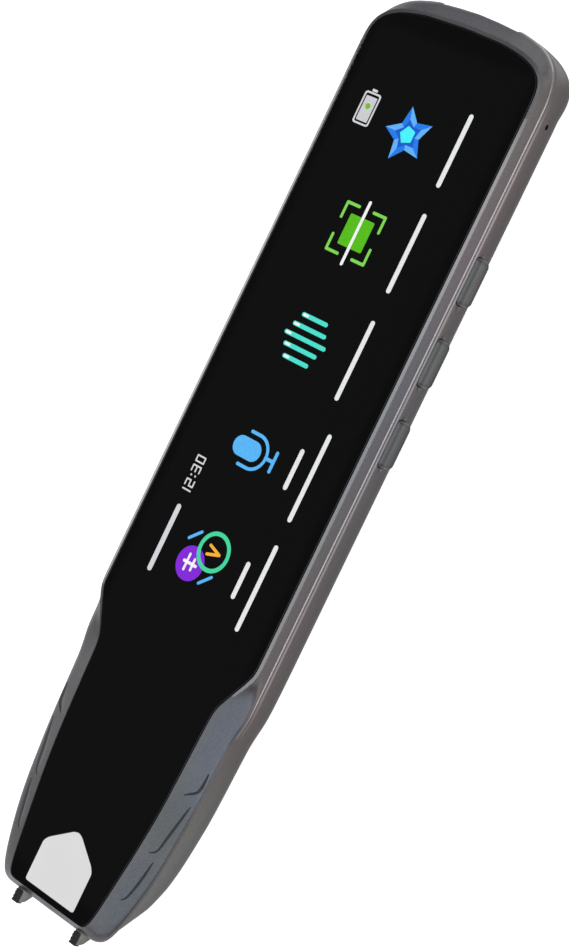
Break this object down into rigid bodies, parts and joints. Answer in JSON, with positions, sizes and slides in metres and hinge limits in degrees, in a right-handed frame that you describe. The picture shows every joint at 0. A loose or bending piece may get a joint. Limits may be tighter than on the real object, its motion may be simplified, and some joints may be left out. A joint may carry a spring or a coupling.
{
  "type": "scan translation pen",
  "caption": "Handheld scan translation pen with a long glass touch screen, side keys, a speaker grille on the back and a sprung scan trigger at the tapered tip.",
  "frame": {"origin": "middle of the flat back that the pen lies on", "axes": "+Y to the top end with the charging socket, -Y to the scanning tip, +X to the side with the keys, +Z out of the screen"},
  "size_m": [0.0378, 0.156, 0.0124],
  "materials": {
    "shell_paint": "satin gun-metal metallic paint with a fine sparkle",
    "frame_paint": "satin gun-metal metallic paint, a shade cooler than the shell",
    "cover_glass": "polished glass, printed black behind, with a softly rounded edge",
    "window_clear": "clear glass window over a pale light panel",
    "black_tape": "matt black foam tape",
    "white_plastic": "white diffusing plastic",
    "display": "dark screen module",
    "flex_circuit": "amber polyimide film",
    "chassis_alloy": "stamped plate",
    "circuit_board": "green solder mask",
    "bright_steel": "plain bright steel",
    "battery_foil": "laminated pouch foil",
    "black_plastic": "black moulded plastic",
    "seal_rubber": "dark rubber",
    "dark_mesh": "blackened fine mesh",
    "brass_can": "gold flashed can",
    "key_paint": "satin paint, slightly darker than the shell",
    "tip_steel": "grey bead-blasted steel"
  },
  "bodies": {
    "housing": {"rear_shell": "shell_paint", "front_frame": "frame_paint", "cover_glass": "cover_glass", "glass_adhesive": "black_tape", "sight_window": "window_clear", "window_diffuser": "white_plastic", "display_module": "display", "display_flex": "flex_circuit", "chassis": "chassis_alloy", "main_pcb": "circuit_board", "shield_can": "bright_steel", "battery": "battery_foil", "battery_tape": "white_plastic", "speaker": "black_plastic", "speaker_gasket": "seal_rubber", "speaker_mesh": "dark_mesh", "usb_c_port": "bright_steel", "microphone": "brass_can", "antenna": "flex_circuit", "badge_disc": "shell_paint", "camera_module": "black_plastic", "camera_flex": "flex_circuit", "led_board": "white_plastic", "scan_hood": "black_plastic", "key_board": "circuit_board", "key_switches": "bright_steel", "case_screws": "bright_steel", "hinge_bar": "tip_steel", "trigger_axle": "bright_steel", "trigger_switch": "black_plastic", "return_spring": "bright_steel"},
    "key_1": {"key_1": "key_paint"},
    "key_2": {"key_2": "key_paint"},
    "key_3": {"key_3": "key_paint"},
    "trigger": {"trigger_yoke": "tip_steel", "tip_feet": "seal_rubber"},
    "switch_plunger": {"switch_plunger": "white_plastic"},
    "return_pin": {"return_pin": "bright_steel"}
  },
  "joints": [
    {"name": "key_1_press", "type": "slide", "parent": "housing", "child": "key_1", "axis": [-1, 0, 0], "range_m": [0, 0.00035], "stiffness_N_per_m": 2000, "springref_m": -0.0003},
    {"name": "key_2_press", "type": "slide", "parent": "housing", "child": "key_2", "axis": [-1, 0, 0], "range_m": [0, 0.00035], "stiffness_N_per_m": 2000, "springref_m": -0.0003},
    {"name": "key_3_press", "type": "slide", "parent": "housing", "child": "key_3", "axis": [-1, 0, 0], "range_m": [0, 0.00035], "stiffness_N_per_m": 2000, "springref_m": -0.0003},
    {"name": "trigger_swing", "type": "hinge", "parent": "housing", "child": "trigger", "pos_m": [0, -0.0706, 0.00275], "axis": [-1, 0, 0], "range_deg": [0, 4], "stiffness_Nm_per_rad": 0.15, "springref_deg": -5.73},
    {"name": "switch_press", "type": "slide", "parent": "housing", "child": "switch_plunger", "axis": [0, 1, 0], "range_m": [0, 0.0005]},
    {"name": "return_press", "type": "slide", "parent": "housing", "child": "return_pin", "axis": [0, 1, 0], "range_m": [0, 0.0005]}
  ],
  "couplings": [
    {"joint": "switch_press", "follows": "trigger_swing", "m_per_rad": 0.0065},
    {"joint": "return_press", "follows": "trigger_swing", "m_per_rad": 0.0065}
  ]
}
